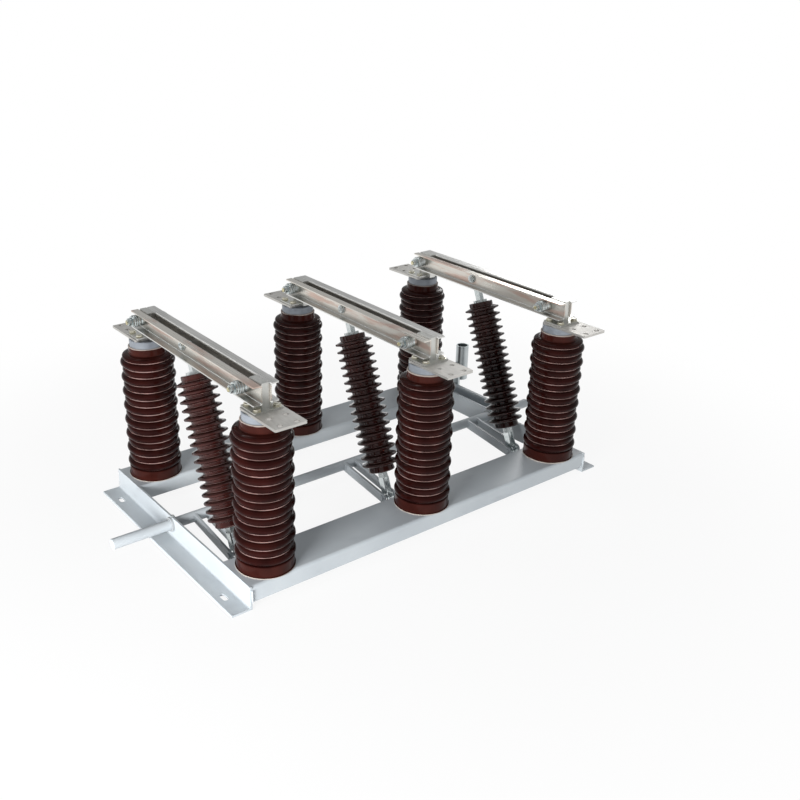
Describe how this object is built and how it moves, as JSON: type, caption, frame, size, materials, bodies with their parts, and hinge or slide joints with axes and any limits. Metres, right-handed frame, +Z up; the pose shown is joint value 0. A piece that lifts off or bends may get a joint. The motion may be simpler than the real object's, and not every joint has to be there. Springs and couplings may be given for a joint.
{
  "type": "isolating switch",
  "caption": "Indoor isolating switch: knife blades on ribbed porcelain posts over a low steel frame, lifted together by slanted insulating pull rods from one main shaft.",
  "frame": {"origin": "on the floor, midway between the end angles and between the front and rear posts", "axes": "+X along the frame from pole one to pole three, +Y from the front terminals to the rear terminals, +Z up"},
  "size_m": [1.452, 0.804, 0.5305],
  "materials": {
    "grey_paint": "semi-gloss light grey paint",
    "bronze": "machined",
    "zinc_plate": "bright zinc plate",
    "brown_glaze": "glossy dark brown glaze",
    "tinned_plate": "matt tin plate",
    "contact_metal": "tin plate",
    "blade_metal": "bright plated copper",
    "cap_metal": "cast, grey"
  },
  "bodies": {
    "frame": {"end_angle_left": "grey_paint", "end_angle_right": "grey_paint", "front_channel": "grey_paint", "rear_channel": "grey_paint", "bearing_left": "bronze", "bearing_right": "bronze", "post_front_1": "brown_glaze", "terminal_front_1": "tinned_plate", "contact_front_1": "contact_metal", "post_rear_1": "brown_glaze", "terminal_rear_1": "tinned_plate", "contact_rear_1": "contact_metal", "post_caps_1": "cap_metal", "post_front_2": "brown_glaze", "terminal_front_2": "tinned_plate", "contact_front_2": "contact_metal", "post_rear_2": "brown_glaze", "terminal_rear_2": "tinned_plate", "contact_rear_2": "contact_metal", "post_caps_2": "cap_metal", "post_front_3": "brown_glaze", "terminal_front_3": "tinned_plate", "contact_front_3": "contact_metal", "post_rear_3": "brown_glaze", "terminal_rear_3": "tinned_plate", "contact_rear_3": "contact_metal", "post_caps_3": "cap_metal"},
    "shaft": {"main_shaft": "grey_paint", "lever_1": "grey_paint", "lever_2": "grey_paint", "lever_3": "grey_paint", "operating_crank": "grey_paint"},
    "socket": {"operating_socket": "zinc_plate"},
    "blade_1": {"blade_1": "blade_metal", "contact_springs_1": "zinc_plate"},
    "rod_1": {"pull_rod_1": "brown_glaze", "rod_fittings_1": "zinc_plate"},
    "blade_2": {"blade_2": "blade_metal", "contact_springs_2": "zinc_plate"},
    "rod_2": {"pull_rod_2": "brown_glaze", "rod_fittings_2": "zinc_plate"},
    "blade_3": {"blade_3": "blade_metal", "contact_springs_3": "zinc_plate"},
    "rod_3": {"pull_rod_3": "brown_glaze", "rod_fittings_3": "zinc_plate"}
  },
  "joints": [
    {"name": "shaft_turn", "type": "hinge", "parent": "frame", "child": "shaft", "pos_m": [0, 0.032, 0.038], "axis": [-1, 0, 0], "range_deg": [0, 65]},
    {"name": "socket_pivot", "type": "hinge", "parent": "shaft", "child": "socket", "pos_m": [0.624, 0.267, 0.038], "axis": [-1, 0, 0], "range_deg": [-65.5, 0.5]},
    {"name": "blade_1_swing", "type": "hinge", "parent": "frame", "child": "blade_1", "pos_m": [-0.48, 0.271, 0.506], "axis": [-1, 0, 0], "range_deg": [-0.5, 52.45]},
    {"name": "rod_1_pivot", "type": "hinge", "parent": "blade_1", "child": "rod_1", "pos_m": [-0.48, 0.04904, 0.50175], "axis": [-1, 0, 0], "range_deg": [-52.01, 0.5]},
    {"name": "blade_2_swing", "type": "hinge", "parent": "frame", "child": "blade_2", "pos_m": [0, 0.271, 0.506], "axis": [-1, 0, 0], "range_deg": [-0.5, 52.45]},
    {"name": "rod_2_pivot", "type": "hinge", "parent": "blade_2", "child": "rod_2", "pos_m": [0, 0.04904, 0.50175], "axis": [-1, 0, 0], "range_deg": [-52.01, 0.5]},
    {"name": "blade_3_swing", "type": "hinge", "parent": "frame", "child": "blade_3", "pos_m": [0.48, 0.271, 0.506], "axis": [-1, 0, 0], "range_deg": [-0.5, 52.45]},
    {"name": "rod_3_pivot", "type": "hinge", "parent": "blade_3", "child": "rod_3", "pos_m": [0.48, 0.04904, 0.50175], "axis": [-1, 0, 0], "range_deg": [-52.01, 0.5]}
  ],
  "couplings": [
    {"joint": "socket_pivot", "follows": "shaft_turn", "ratio": -1},
    {"joint": "blade_1_swing", "follows": "shaft_turn", "ratio": 0.7992},
    {"joint": "rod_1_pivot", "follows": "shaft_turn", "ratio": -0.7924},
    {"joint": "blade_2_swing", "follows": "shaft_turn", "ratio": 0.7992},
    {"joint": "rod_2_pivot", "follows": "shaft_turn", "ratio": -0.7924},
    {"joint": "blade_3_swing", "follows": "shaft_turn", "ratio": 0.7992},
    {"joint": "rod_3_pivot", "follows": "shaft_turn", "ratio": -0.7924}
  ]
}
